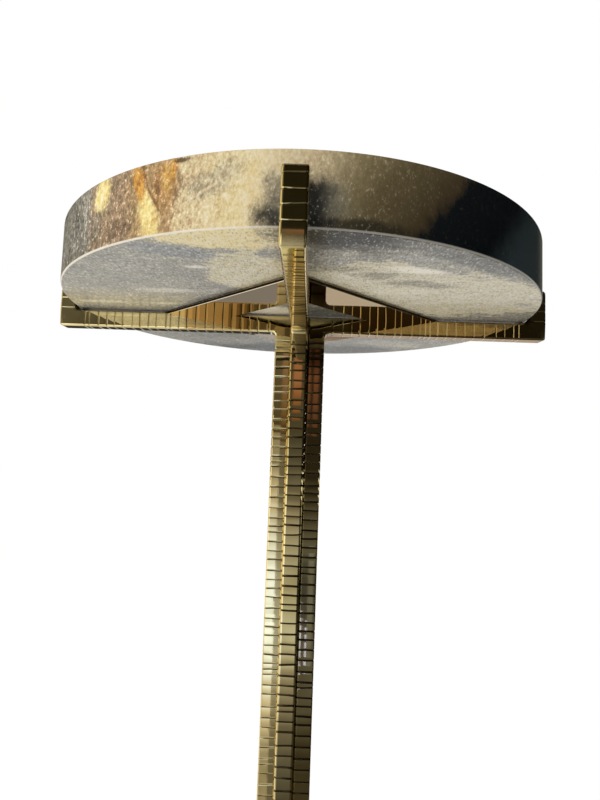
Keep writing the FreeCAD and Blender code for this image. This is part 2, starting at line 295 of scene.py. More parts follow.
# Marks on the underside: the noise that they follow, where in it they begin and are full, their
# strength as a share, and their colour.
UNDERSIDE_MARKS = [
    ("flakes", 0.12, 0.2, 0.5, "#E6E5DE"),
    ("streaks", 0.12, 0.24, 0.45, "#DAD9D2"),
    ("specks", -0.1, -0.2, 0.5, "#55524A"),
    ("specks", 0.1, 0.2, 0.6, "#F2F1EC"),
]


def stone_patch(tree, place, wander, ground, patch):
    """Lay a patch of another colour, with a wandering border, on the ground colour."""
    middle, half, lean, soft, strength_share, colour = patch
    links = {"Vector": place, "Location": (*middle, 0), "Scale": (half[0] * MM, half[1] * MM, 1)}
    links["Rotation"] = (0, 0, math.radians(lean))
    own_place = put(tree, "Mapping", links, vector_type="TEXTURE")
    away = put(tree, "VectorMath", {0: own_place}, "Value", operation="LENGTH")
    ragged = put(tree, "Math", {0: away, 1: wander}, operation="ADD")
    limits = {"Value": ragged, "From Min": 1 + soft, "From Max": 1 - soft, "To Max": strength_share}
    cover = put(tree, "MapRange", limits, interpolation_type="SMOOTHSTEP")
    return put(tree, "Mix", {0: cover, 6: ground, 7: linear(colour)}, 2, data_type="RGBA")


def stone_noise(tree, place, sizes, detail, rough):
    """Cloudy noise about zero whose blotches have a size along each axis."""
    way = put(tree, "VectorMath", {0: place, 1: [1 / size for size in sizes]}, operation="MULTIPLY")
    links = {"Vector": way, "Scale": 1.0, "Detail": detail, "Roughness": rough}
    return put(tree, "Math", {0: put(tree, "TexNoise", links), 1: 0.5}, operation="SUBTRACT")


def grained(tree, ground, noise, reach, share):
    """Lay grain over a colour and keep its mean: darkest at -reach of the noise, palest at +reach."""
    grey = put(tree, "MapRange", {"Value": noise, "From Min": -reach, "From Max": reach})
    return put(tree, "Mix", {0: share, 6: ground, 7: grey}, 2, data_type="RGBA", blend_type="OVERLAY")


def rim_colours(tree, place, axes, grain):
    """The rim: seams that stand up it, patches with ragged borders, streaks and a sparkling grain."""
    lean, degrees = bearing(tree, axes)
    height = put(tree, "Math", {0: axes[2], 1: stone_low.z}, operation="SUBTRACT")
    along = put(tree, "Math", {0: lean, 1: STONE_RADIUS}, operation="MULTIPLY")
    rim_place = put(tree, "CombineXYZ", {0: along, 1: height})
    streak_turn = (0, 0, -math.radians(RIM_STREAK_LEAN_DEGREES))
    streak_place = put(tree, "Mapping", {"Vector": rim_place, "Rotation": streak_turn})
    streaks = stone_noise(tree, streak_place, RIM_STREAK, 3.0, 0.6)
    seams = stone_noise(tree, place, RIM_SEAM, 4.0, 0.65)
    begin, end = RAGGED_TO_CLEAN
    ragged_share = put(tree, "MapRange", {"Value": degrees, "From Min": begin, "From Max": end,
                                          "To Min": 1.0, "To Max": 0.1})
    ragged = put(tree, "Math", {0: grain, 1: ragged_share}, operation="MULTIPLY")
    wander = put(tree, "Math", {0: seams, 1: 1.6, 2: ragged}, operation="MULTIPLY_ADD")
    # The seam on the right leans, and every border wanders by a few degrees.
    half_lean = SEAM_LEAN_DEGREES / 2
    seam_lean = put(tree, "MapRange", {"Value": height, "From Max": STONE_THICK,
                                       "To Min": half_lean, "To Max": -half_lean})
    begin, end = UPRIGHT_TO_LEANING
    lean_share = put(tree, "MapRange", {"Value": degrees, "From Min": begin, "From Max": end})
    leaned = put(tree, "Math", {0: seam_lean, 1: lean_share, 2: degrees}, operation="MULTIPLY_ADD")
    turned = put(tree, "Math", {0: wander, 1: 4.0, 2: leaned}, operation="MULTIPLY_ADD")
    rim = colours_along(tree, turned, RIM_COLOURS)
    for (at, up), *rest in RIM_PATCHES:
        middle = (math.radians(at) * STONE_RADIUS, up * MM)
        rim = stone_patch(tree, rim_place, wander, rim, (middle, *rest))
    # The grain shows most on the left and is gone in the black seam on the right.
    begin, end = GRAINY_TO_PLAIN
    grain_share = put(tree, "MapRange", {"Value": turned, "From Min": begin, "From Max": end,
                                         "To Min": 0.9, "To Max": 0.02})
    # At the back the two ends of the rim's finish meet halfway.
    away = put(tree, "Math", {0: degrees}, operation="ABSOLUTE")
    begin, end = SIDE_TO_BACK
    back_share = put(tree, "MapRange", {"Value": away, "From Min": begin, "From Max": end})
    grain_share = put(tree, "Mix", {0: back_share, 2: grain_share, 3: 0.4})
    streak_share = put(tree, "Math", {0: grain_share, 1: 0.6}, operation="MULTIPLY")
    rim = grained(tree, rim, seams, 0.3, streak_share)
    rim = grained(tree, rim, streaks, 0.3, streak_share)
    crystals = stone_noise(tree, place, RIM_CRYSTAL, 4.0, 0.7)
    rim = grained(tree, rim, crystals, 0.2, grain_share)
    rim = grained(tree, rim, grain, 0.22, streak_share)
    glint = put(tree, "Math", {0: crystals, 1: grain}, operation="ADD")
    sparkle = put(tree, "MapRange", {"Value": glint, "From Min": 0.13, "From Max": 0.24})
    sparkle_share = put(tree, "Math", {0: sparkle, 1: grain_share}, operation="MULTIPLY")
    rim = put(tree, "Mix", {0: sparkle_share, 6: rim, 7: linear("#F6F0DE")}, 2, data_type="RGBA")
    begin, end = DULL_TO_GLOSSY
    gloss = put(tree, "MapRange", {"Value": turned, "From Min": begin, "From Max": end,
                                   "To Min": 0.42, "To Max": 0.14})
    gloss = put(tree, "Mix", {0: back_share, 2: gloss, 3: 0.28})
    return rim, gloss, turned


def underside_colours(tree, place):
    """The honed underside: grey, with cream patches, pale streaks and fine sparkling specks, and a few
    patches of painted light and shade by the hub and the near tab.
    """
    flat_place = put(tree, "VectorMath", {0: place, 1: (1, 1, 0)}, operation="MULTIPLY")
    clouds = stone_noise(tree, place, [UNDERSIDE_CLOUD] * 3, 5.0, 0.65)
    streaks = stone_noise(tree, place, UNDERSIDE_STREAK, 4.0, 0.65)
    specks = stone_noise(tree, place, UNDERSIDE_SPECK, 2.0, 0.6)
    wander = put(tree, "Math", {0: clouds, 1: 1.4, 2: streaks}, operation="MULTIPLY_ADD")
    cloud_share = put(tree, "MapRange", {"Value": clouds, "From Min": -0.12, "From Max": 0.12})
    below = put(tree, "Mix", {0: cloud_share, 6: linear("#8C8C87"), 7: linear("#A6A49A")}, 2,
                data_type="RGBA")
    for (across, back), *rest in UNDERSIDE_PATCHES:
        below = stone_patch(tree, flat_place, wander, below, ((across * MM, back * MM), *rest))
    flakes = stone_noise(tree, place, UNDERSIDE_FLAKE, 3.0, 0.7)
    below = grained(tree, below, streaks, 0.25, 0.25)
    below = grained(tree, below, flakes, 0.25, 0.4)
    below = grained(tree, below, specks, 0.22, 0.45)
    noises = {"flakes": flakes, "streaks": streaks, "specks": specks}
    for noise, begin, full, strength_share, colour in UNDERSIDE_MARKS:
        limits = {"Value": noises[noise], "From Min": begin, "From Max": full, "To Max": strength_share}
        mark_share = put(tree, "MapRange", limits)
        below = put(tree, "Mix", {0: mark_share, 6: below, 7: linear(colour)}, 2, data_type="RGBA")
    return below, clouds, streaks


def slab_stone():
    """Veined quartzite, polished on top and rim, honed below. It gives the eye a sparkling
    grain, ochre and rust seams, a black glossy patch and a dull grey underside."""
    material, tree = new_tree("veined_quartzite_polished")
    place = put(tree, "TexCoord", out="Object")
    axes = put(tree, "SeparateXYZ", {0: place}).node.outputs
    grain = stone_noise(tree, place, RIM_GRAIN, 3.0, 0.7)
    rim, gloss, turned = rim_colours(tree, place, axes, grain)
    below, clouds, streaks = underside_colours(tree, place)
    # Upper face: the same clouds, polished and so deeper, with gold seams.
    cloud_share = put(tree, "MapRange", {"Value": clouds, "From Min": -0.14, "From Max": 0.14})
    top = put(tree, "Mix", {0: cloud_share, 6: linear("#2C3133"), 7: linear("#968C74")}, 2,
              data_type="RGBA")
    seam_share = put(tree, "MapRange", {"Value": streaks, "From Min": 0.08, "From Max": 0.2})
    top = put(tree, "Mix", {0: seam_share, 6: top, 7: linear("#C9A964")}, 2, data_type="RGBA")
    normal = put(tree, "NewGeometry", out="Normal")
    up = put(tree, "SeparateXYZ", {0: normal}, 2)
    under_share = put(tree, "MapRange", {"Value": up, "From Min": -0.8, "From Max": -0.95})
    top_share = put(tree, "MapRange", {"Value": up, "From Min": 0.6, "From Max": 0.95})
    # Painted highlight: the eased lower edge is painted pale, most on the left, where the light falls
    # on it.
    begin, end = LIT_TO_UNLIT_ARRIS
    arris_lit_share = put(tree, "MapRange", {"Value": turned, "From Min": begin, "From Max": end,
                                        "To Min": 0.9, "To Max": 0.35})
    lower_share = put(tree, "MapRange", {"Value": up, "From Min": -0.1, "From Max": -0.4})
    arris_highlight_share = put(tree, "Math", {0: lower_share, 1: arris_lit_share}, operation="MULTIPLY")
    colour = put(tree, "Mix", {0: arris_highlight_share, 6: rim, 7: linear("#F4F2EA")}, 2, data_type="RGBA")
    colour = put(tree, "Mix", {0: top_share, 6: colour, 7: top}, 2, data_type="RGBA")
    colour = put(tree, "Mix", {0: under_share, 6: colour, 7: below}, 2, data_type="RGBA")
    honed = put(tree, "Mix", {0: under_share, 2: gloss, 3: 0.28})
    bump = put(tree, "Bump", {"Height": grain, "Strength": 0.1, "Distance": GRAIN_DEPTH})
    shader = put(tree, "BsdfPrincipled", {"Base Color": colour, "Roughness": honed, "Normal": bump})
    put(tree, "OutputMaterial", {"Surface": shader})
    return material


ADHESIVE_LUMP = 2.5 * MM
LUMP_DEPTH = 0.2 * MM


def dark_adhesive():
    """Cured stone adhesive: nearly black, dull, a little lumpy where it squeezed out."""
    material, tree = new_tree("cured_stone_adhesive")
    place = put(tree, "TexCoord", out="Object")
    lumps = put(tree, "TexNoise", {"Vector": place, "Scale": 1 / ADHESIVE_LUMP})
    colour = put(tree, "Mix", {0: lumps, 6: linear("#0E0C0A"), 7: linear("#211D18")}, 2,
                 data_type="RGBA")
    bump = put(tree, "Bump", {"Height": lumps, "Strength": 0.4, "Distance": LUMP_DEPTH})
    shader = put(tree, "BsdfPrincipled", {"Base Color": colour, "Roughness": 0.6, "Normal": bump})
    put(tree, "OutputMaterial", {"Surface": shader})
    return material


FELT_FIBRE = 0.5 * MM
FIBRE_DEPTH = 0.2 * MM


def pressed_felt():
    """Pressed wool felt: dull brown with matted fibres and a soft sheen."""
    material, tree = new_tree("pressed_wool_felt")
    place = put(tree, "TexCoord", out="Object")
    fibres = put(tree, "TexNoise", {"Vector": place, "Scale": 1 / FELT_FIBRE, "Detail": 5.0,
                                    "Roughness": 0.7, "Distortion": 1.5})
    colour = put(tree, "Mix", {0: fibres, 6: linear("#3B2B20"), 7: linear("#6A533F")}, 2,
                 data_type="RGBA")
    bump = put(tree, "Bump", {"Height": fibres, "Strength": 0.6, "Distance": FIBRE_DEPTH})
    sockets = {"Base Color": colour, "Roughness": 0.95, "Sheen Weight": 0.4, "Normal": bump}
    put(tree, "OutputMaterial", {"Surface": put(tree, "BsdfPrincipled", sockets)})
    return material


CUT_BRASS = cut_brass()
MIRROR_BRASS = mirror_brass()
STONE = slab_stone()
ADHESIVE = dark_adhesive()
FELT = pressed_felt()


# Pieces

def add_piece(name, vertices, faces, material, node):
    """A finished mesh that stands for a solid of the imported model."""
    mesh = bpy.data.meshes.new(name)
    mesh.from_pydata(vertices, [], faces)
    mesh.validate()
    mesh.shade_smooth()
    mesh.materials.append(material)
    piece = bpy.data.objects.new(name, mesh)
    bpy.context.scene.collection.objects.link(piece)
    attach(piece, "root")
    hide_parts(node)
    return piece


def ring_faces(rings, count):
    """Faces between rings of points that follow each other."""
    faces = []
    for ring in range(rings - 1):
        low = ring * count
        high = low + count
        for point in range(count):
            after = (point + 1) % count
            faces.append((low + point, low + after, high + after, high + point))
    return faces


def end_faces(first, last, count):
    """Flat faces over two rings of points, given by the number of their first point."""
    return [tuple(reversed(range(first, first + count))), tuple(range(last, last + count))]


# A bar's section is a square with eased edges. A point of it has a place up and across the bar,
# the way out of the bar there, and the way travelled round the bar so far.
SectionPoint = namedtuple("SectionPoint", "up across out_up out_across travelled")
EDGE_ROUND = 1.2 * MM
EASE_STEPS = 5
# Places of points across a flat, as shares of its half width: the outer ones hold it flat.
FLAT_PLACE_SHARES = (-1.0, -0.97, 0.0, 0.97)


def bar_section():
    """The points of the section, round the bar."""
    half = BAR / 2
    flat = half - EDGE_ROUND
    points = []
    for side in range(len(SIDES)):
        turn = Matrix.Rotation(side * QUARTER, 2)
        for place_share in FLAT_PLACE_SHARES:
            place = Vector((half, flat * place_share))
            points.append((turn @ place, turn @ Vector((1, 0))))
        for step in range(EASE_STEPS):
            lean = QUARTER * step / EASE_STEPS
            out = Vector((math.cos(lean), math.sin(lean)))
            points.append((turn @ (Vector((flat, flat)) + EDGE_ROUND * out), turn @ out))
    section = []
    travelled = 0.0
    for index, (place, out) in enumerate(points):
        if index:
            travelled += (place - points[index - 1][0]).length
        section.append(SectionPoint(place.x, place.y, out.x, out.y, travelled))
    return section


SECTION = bar_section()
ROUND_LENGTH = SECTION[-1].travelled + EDGE_ROUND * QUARTER / EASE_STEPS

# A point of a ring round the bar: how far along the bar, how far in from the section, and how deep
# in a cut, from 0 to 1.
RingPoint = namedtuple("RingPoint", "along inset cut")
# The cuts, as a file leaves them by hand.
CUT_SPACING = 6.1 * MM
CUT_WIDTH = 1.1 * MM
CUT_DEPTH = 0.36 * MM
CUT_WAVER = 0.22 * MM
CUT_SLANT_SHARE = 0.03
WAVER_ORDERS = (2, 3, 5)
# Over one cut: place across the cut and depth, as shares, with a flat shoulder on both sides.
CUT_SHAPE_SHARES = [
    (-0.56, 0.0), (-0.5, 0.01), (-0.22, 0.7), (0.0, 1.0), (0.22, 0.7), (0.5, 0.01), (0.56, 0.0),
]
# From the bare end to the first cut, and from cut to cut, as shares of the spacing.
FIRST_CUT_SHARES = (0.1, 0.6)
CLOSE_CUT_SHARES = (0.45, 0.65)
USUAL_CUT_SHARES = (0.85, 1.12)
WIDE_CUT_SHARES = (1.12, 1.3)
# How many cuts stand close to the next, and how many stand close or as usual.
CLOSE_COUNT_SHARE = 0.1
USUAL_COUNT_SHARE = 0.85
# From cut to cut, the width, the depth and the waver change by these shares, and round the bar
# the depth changes.
CUT_WIDTH_SHARES = (0.75, 1.25)
CUT_DEPTH_SHARES = (0.7, 1.2)
CUT_WAVER_SHARES = (0.2, 1.0)
CUT_UNEVEN_SHARE = 0.2
UNEVEN_ORDER = 3
# The metal between two cuts may lie this much lower than its neighbours.
CELL_TILT = 0.01 * MM
# Cuts on a tab, down from its top, and how far up they may move from tab to tab.
TAB_CUTS = [4.3 * MM, 10.7 * MM, 16.6 * MM, 23.2 * MM]
TAB_CUT_SHIFT = 2.4 * MM
TAB_SHIFT_SHARES = (0.7, 1.0)
# Dirt left in the cuts, little on the arms. Below the arms and on the front and right uprights the
# cuts are darkened much more, as painted shade.
CUT_DIRT_SHARE = 0.45
ARM_DIRT_SHARE = 0.15
DIRT_AND_SHADE_SHARE = 0.9
SHADED_CUT_BARS = ("leg_front", "leg_right")
# Painted reflection: the arms are painted a deeper gold near the hub, which stands in for the warm,
# dim surroundings that they mirror: where it begins, its share, and how far out it reaches.
DEEP_GOLD_REFLECTION_START = 2 * STEM_OUT
DEEP_GOLD_REFLECTION = {
    "right": (0.8, TAB_FACE),
    "back": (0.7, TAB_FACE),
    "left": (0.7, 78 * MM),
    "front": (0.5, TAB_FACE),
}
# Rings of points on a bar are at least this far apart.
RING_GAP = 0.02 * MM
# Brazed ends: rings of points, the bare length, the ground outside and the fillet inside.
END_STEPS = 7
BARE_END = 3.0 * MM
BARE_TAB_END = 0.5 * MM
CORNER_RADIUS = 2.0 * MM
BRAZE_RADIUS = 3.0 * MM
TAB_BRAZE_RADIUS = 6.0 * MM
# A point of the section lies on the upper or lower face where it faces that way by this share.
FACING_SHARE = 0.05
# Cuts are shallower on the underside of an arm.
ARM_UNDERCUT_SHARE = 0.35

# Each bar on the +X side: the level or radius of its axis, the places of its ends along the
# axis, and how these change with the height across the bar: 0 is a free square end.
BARS = {
    "arm": {"upright": False, "axis": ARM_LEVEL, "begin": (BAR, -1), "end": (TAB_MIDDLE, -1)},
    "tab": {"upright": True, "axis": TAB_MIDDLE, "begin": (ARM_LEVEL, -1), "end": (tab_high.z, 0)},
    "leg": {"upright": True, "axis": BAR, "begin": (FOOT_LEVEL, 1), "end": (ARM_LEVEL, -1)},
    "foot": {"upright": False, "axis": FOOT_LEVEL, "begin": (BAR, 1), "end": (foot_high.x, 0)},
}


def cut_places(chance, start, end):
    """Places of the cuts along a bar, now and then close together or far apart."""
    places = []
    at = start + CUT_SPACING * chance.uniform(*FIRST_CUT_SHARES)
    while at < end - CUT_WIDTH:
        places.append(at)
        step_shares = WIDE_CUT_SHARES
        pick = chance.random()
        if pick < CLOSE_COUNT_SHARE:
            step_shares = CLOSE_CUT_SHARES
        elif pick < USUAL_COUNT_SHARE:
            step_shares = USUAL_CUT_SHARES
        at += CUT_SPACING * chance.uniform(*step_shares)
    return places


def cut_rings(chance, at):
    """Rings for one cut, which wavers round the bar."""
    width = CUT_WIDTH * chance.uniform(*CUT_WIDTH_SHARES)
    depth = CUT_DEPTH * chance.uniform(*CUT_DEPTH_SHARES)
    slant = [CUT_SLANT_SHARE * chance.uniform(-1, 1) for _ in range(2)]
    waves = []
    for order in WAVER_ORDERS:
        size = CUT_WAVER * chance.uniform(*CUT_WAVER_SHARES) / order
        waves.append((size, order, chance.uniform(0, math.tau)))
    rings = []
    for across, deep_reflection in CUT_SHAPE_SHARES:
        ring = []
        for place in SECTION:
            way = math.tau * place.travelled / ROUND_LENGTH
            shift = slant[0] * place.up + slant[1] * place.across
            shift += sum(size * math.sin(order * way + phase) for size, order, phase in waves)
            swell = math.sin(UNEVEN_ORDER * way + waves[0][2])
            uneven = 1 - CUT_UNEVEN_SHARE + CUT_UNEVEN_SHARE * swell
            ring.append(RingPoint(at + shift + across * width, deep_reflection * depth * uneven, deep_reflection))
        rings.append(ring)
    return rings


def unfolded(rings):
    """The same rings, with every point kept beyond the same point of the ring before."""
    kept = [rings[0]]
    for ring in rings[1:]:
        moved = []
        for point, before in zip(ring, kept[-1]):
            moved.append(point._replace(along=max(point.along, before.along + RING_GAP)))
        kept.append(moved)
    return kept


def bar_rings(chance, kind, side):
    """Rings along one bar, from end to end."""
    begin, begin_slope = BARS[kind]["begin"]
    end, end_slope = BARS[kind]["end"]
    first = begin + BAR / 2 + BARE_END
    last = end - BAR / 2 - BARE_END
    bare = BARE_TAB_END if kind == "tab" else BARE_END
    rings = []
    for step in range(END_STEPS):
        away = bare * step / (END_STEPS - 1)
        rings.append([RingPoint(begin + begin_slope * place.up + away, 0.0, 0.0) for place in SECTION])
    ending = []
    if end_slope:
        for step in range(END_STEPS):
            away = BARE_END * (1 - step / (END_STEPS - 1))
            ending.append([RingPoint(end + end_slope * place.up - away, 0.0, 0.0) for place in SECTION])
    else:
        last = end - 2 * EDGE_ROUND
        for step in range(END_STEPS):
            lean = QUARTER * step / (END_STEPS - 1)
            inset = EDGE_ROUND * (1 - math.cos(lean))
            along = end - EDGE_ROUND * (1 - math.sin(lean))
            ending.append([RingPoint(along, inset, 0.0)] * len(SECTION))
    if kind == "tab":
        shift = 0.0 if side == "front" else TAB_CUT_SHIFT * chance.uniform(*TAB_SHIFT_SHARES)
        places = sorted(end - down + shift for down in TAB_CUTS)
    else:
        places = cut_places(chance, first, last)
    for index, at in enumerate(places):
        rings.extend(cut_rings(chance, at))
        if index + 1 < len(places):
            middle = (at + places[index + 1]) / 2
            rings.append([RingPoint(middle, CELL_TILT * chance.random(), 0.0)] * len(SECTION))
    return unfolded(rings + ending)


def round_corner(reach, level, centre, outward):
    """Draw the square corner that lies outward of a centre in to a quarter round."""
    out = (reach - centre[0]) * outward[0]
    up = (level - centre[1]) * outward[1]
    if out <= 0 or up <= 0:
        return reach, level
    shrink = max(out, up) / math.hypot(out, up)
    return centre[0] + outward[0] * out * shrink, centre[1] + outward[1] * up * shrink


def braze_fill(distance, radius):
    """How far the fillet of braze stands off a face, by the distance from the other bar."""
    short = radius - distance
    if short <= 0:
        return 0.0
    return radius - math.sqrt(radius ** 2 - min(short, radius) ** 2)


def bar_point(kind, place, ring_point):
    """One point of a bar: out from the stem, across the bar, and up."""
    along, inset, _ = ring_point
    upper = place.out_up > FACING_SHARE
    lower = place.out_up < -FACING_SHARE
    if kind == "arm" and lower:
        inset *= ARM_UNDERCUT_SHARE
    off_axis = BARS[kind]["axis"] + place.up - place.out_up * inset
    reach, level = (off_axis, along) if BARS[kind]["upright"] else (along, off_axis)
    if kind == "arm" and lower:
        level -= braze_fill(reach - STEM_OUT, BRAZE_RADIUS)
    if kind == "arm" and upper:
        level += braze_fill(TAB_FACE - reach, TAB_BRAZE_RADIUS)
    if kind == "foot" and upper:
        level += braze_fill(reach - STEM_OUT, BRAZE_RADIUS)
    if kind in ("arm", "tab"):
        centre = (tab_high.x - CORNER_RADIUS, arm_low.z + CORNER_RADIUS)
        reach, level = round_corner(reach, level, centre, (1, -1))
    if kind == "tab":
        centre = (tab_high.x - CORNER_RADIUS, tab_high.z - CORNER_RADIUS)
        reach, level = round_corner(reach, level, centre, (1, 1))
    return Vector((reach, place.across - place.out_across * inset, level))


def bar_finish_and_shade(kind, side, place, point, cut):
    """Shares of dirt and painted shade, of deeper gold as painted reflection, and of dullness
    at one point of a bar.
    """
    dirt_and_shade = cut * CUT_DIRT_SHARE
    deep_reflection = 0.0
    # Painted shade: every cut on the front and right uprights is dark.
    if f"{kind}_{side}" in SHADED_CUT_BARS and cut:
        dirt_and_shade = DIRT_AND_SHADE_SHARE
    if kind == "arm":
        below = place.out_up < FACING_SHARE - 1
        # Painted shade: the cuts under an arm are dark, those on top only a little dirty.
        dirt_and_shade = cut * (DIRT_AND_SHADE_SHARE if below else ARM_DIRT_SHARE)
        # Painted contact shadow: the fillet on top of an arm, at its tab under the slab's edge, is
        # dark.
        if point.x > TAB_FACE - TAB_BRAZE_RADIUS and place.out_up > FACING_SHARE:
            dirt_and_shade = 1.0
        # Painted reflection: a deeper gold near the hub, kept off the cuts and, but for the near arm,
        # off the underside.
        deep_reflection_share, reach = DEEP_GOLD_REFLECTION[side]
        if DEEP_GOLD_REFLECTION_START < point.x < reach and (side == "front" or not below):
            deep_reflection = deep_reflection_share * (1 - cut)
    in_corner = point.x > tab_high.x - CORNER_RADIUS and point.z < arm_low.z + CORNER_RADIUS
    dull = 1.0 if kind in ("arm", "tab") and in_corner else 0.0
    return dirt_and_shade, deep_reflection, dull


def make_bar(kind, side, turn, chance):
    """One length of bar, cut across, set in its place on its side of the stem."""
    name = f"{kind}_{side}"
    spin = Matrix.Rotation(turn, 3, "Z")
    vertices = []
    finish = []
    ways = []
    rings = bar_rings(chance, kind, side)
    # The end faces have points of their own, so that they don't round the brazed ends.
    for ring in [*rings, rings[0], rings[-1]]:
        for place, ring_point in zip(SECTION, ring):
            point = bar_point(kind, place, ring_point)
            vertices.append(spin @ point)
            finish.extend(bar_finish_and_shade(kind, side, place, point, ring_point.cut))
            ways.extend((ring_point.along, place.travelled, 0.0))
    count = len(SECTION)
    faces = ring_faces(len(rings), count)
    faces += end_faces(len(rings) * count, (len(rings) + 1) * count, count)
    if not BARS[kind]["upright"]:
        faces = [tuple(reversed(face)) for face in faces]
    piece = add_piece(f"{name}_cut", vertices, faces, CUT_BRASS, name)
    mesh = piece.data
    mesh.attributes.new("finish", "FLOAT_VECTOR", "POINT").data.foreach_set("vector", finish)
    mesh.attributes.new("along_bar", "FLOAT_VECTOR", "POINT").data.foreach_set("vector", ways)
    return piece


CUT_SEED = 11
chance = random.Random(CUT_SEED)
for quarter, side in enumerate(SIDES):
    for kind in BARS:
        make_bar(kind, side, quarter * QUARTER, chance)


# The slab, turned from its half profile
ARRIS = 1.2 * MM
ARRIS_STEPS = 6
FACE_STEPS = 12
RIM_STEPS = 6
# Rings this close to the arris hold the faces flat.
FACE_HOLD = 0.1 * MM
SLAB_TURNS = 360


def slab_profile():
    """Radius and level along half the slab, from near the middle below to near it above."""
    inner = STONE_RADIUS - ARRIS
    face = [inner * step / FACE_STEPS for step in range(1, FACE_STEPS)] + [inner - FACE_HOLD]
    rim_low = stone_low.z + ARRIS + FACE_HOLD
    rim_high = stone_high.z - ARRIS - FACE_HOLD
    profile = [(radius, stone_low.z) for radius in [*face, inner]]
    for step in range(1, ARRIS_STEPS + 1):
        lean = QUARTER * step / ARRIS_STEPS
        profile.append((inner + ARRIS * math.sin(lean), stone_low.z + ARRIS * (1 - math.cos(lean))))
    for step in range(RIM_STEPS + 1):
        profile.append((STONE_RADIUS, rim_low + (rim_high - rim_low) * step / RIM_STEPS))
    for step in range(ARRIS_STEPS + 1):
        lean = QUARTER * step / ARRIS_STEPS
        profile.append((inner + ARRIS * math.cos(lean), stone_high.z - ARRIS * (1 - math.sin(lean))))
    profile.extend((radius, stone_high.z) for radius in reversed(face))
    return profile


def make_slab():
    """The stone, as its half profile turned round the stem."""
    profile = slab_profile()
    vertices = []
    for radius, level in profile:
        for turn in range(SLAB_TURNS):
            lean = math.tau * turn / SLAB_TURNS
            vertices.append((radius * math.cos(lean), radius * math.sin(lean), level))
    faces = ring_faces(len(profile), SLAB_TURNS)
    faces += end_faces(0, len(vertices) - SLAB_TURNS, SLAB_TURNS)
    return add_piece("stone_slab", vertices, faces, STONE, "stone_top")


make_slab()

# Sharpness taken off the edges of the polished straps.
STRAP_EASE = 0.4 * MM
EASE_CUTS = 2
# Points of a solid that are closer than this are one point.
JOIN_REACH = 0.02 * MM


def dress(node, material, ease):
    """Give a solid its finish and take the sharpness off its edges."""
    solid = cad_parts[node]
    solid.data.materials.clear()
    solid.data.materials.append(material)
    if ease:
        joined = solid.modifiers.new("joined", "WELD")
        joined.merge_threshold = JOIN_REACH
        edge = solid.modifiers.new("eased", "BEVEL")
        edge.width = ease
        edge.segments = EASE_CUTS
        edge.limit_method = "ANGLE"
        edge.harden_normals = True


for corner in CORNERS:
    dress(f"strap_{corner}", MIRROR_BRASS, STRAP_EASE)
dress("bond_pads", ADHESIVE, 0.0)
dress("stem_core", CUT_BRASS, 0.0)

# Rings of a felt disc: radius and height, as shares of the disc's own.
FELT_RING_SHARES = [
    (0.55, 0.0), (0.88, 0.0), (0.97, 0.12), (1.0, 0.35), (1.0, 0.65), (0.97, 0.9), (0.9, 1.0),
]
FELT_TURNS = 48
FELT_FUZZ_SHARE = 0.02


def make_felt(side, chance):
    """A felt disc with soft edges and a fuzzy side."""
    low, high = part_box(f"felt_{side}")
    middle = (low + high) / 2
    radius = (high.x - low.x) / 2
    vertices = []
    for wide, up in FELT_RING_SHARES:
        for turn in range(FELT_TURNS):
            lean = math.tau * turn / FELT_TURNS
            fuzz = FELT_FUZZ_SHARE * chance.random() if 0 < up < 1 else 0.0
            reach = radius * wide * (1 - fuzz)
            across = middle.x + reach * math.cos(lean)
            back = middle.y + reach * math.sin(lean)
            vertices.append((across, back, low.z + (high.z - low.z) * up))
    faces = ring_faces(len(FELT_RING_SHARES), FELT_TURNS)
    faces += end_faces(0, len(vertices) - FELT_TURNS, FELT_TURNS)
    return add_piece(f"felt_{side}_disc", vertices, faces, FELT, f"felt_{side}")


for side in SIDES:
    make_felt(side, chance)


# Stage: floor, room, cards and lamps

def stage_sheet(name, corners, material):
    """A flat sheet that is no part of the table."""
    mesh = bpy.data.meshes.new(name)
    mesh.from_pydata(corners, [], [range(len(corners))])
    mesh.materials.append(material)
    sheet = bpy.data.objects.new(name, mesh)
    bpy.context.scene.collection.objects.link(sheet)
    return sheet


def white_floor():
    """A pale floor that the camera and polished metal see as white, and that still takes the
    table's shadow."""
    material, tree = new_tree("pale_floor")
    rays = put(tree, "LightPath").node.outputs
    metal = put(tree, "Math", {0: rays["Is Glossy Ray"], 1: rays["Is Transmission Ray"]},
                operation="MAXIMUM")
    seen = put(tree, "Math", {0: rays["Is Camera Ray"], 1: metal}, operation="MAXIMUM")
    white_share = put(tree, "MapRange", {"Value": seen, "To Max": 0.86})
    dull = put(tree, "BsdfDiffuse", {"Color": linear("#E4E1DA")})
    glow = put(tree, "Emission", {"Color": linear("#FFFFFF"), "Strength": 1.1})
    mixed = put(tree, "MixShader", {0: white_share, 1: dull, 2: glow})
    put(tree, "OutputMaterial", {"Surface": mixed})
    return material


FLOOR_REACH = 6.0
floor_corners = [(-1, -1), (1, -1), (1, 1), (-1, 1)]
floor_sheet = [(FLOOR_REACH * x, FLOOR_REACH * y, 0) for x, y in floor_corners]
stage_sheet("floor", floor_sheet, white_floor())


# What polished metal sees of the room above the floor, by degrees from the front, to the right.
ROOM_COLOURS = [
    (-180, "#F4F1EA"), (-172, "#8C877C"), (-160, "#37332A"), (-114, "#3A362C"), (-100, "#FAEBC4"),
    (-62, "#FAEBC4"), (-52, "#8A7F5E"), (-30, "#6E6C66"), (-8, "#26231A"), (90, "#0F0E0B"),
    (135, "#1B1A16"), (160, "#8C877C"), (180, "#F4F1EA"),
]


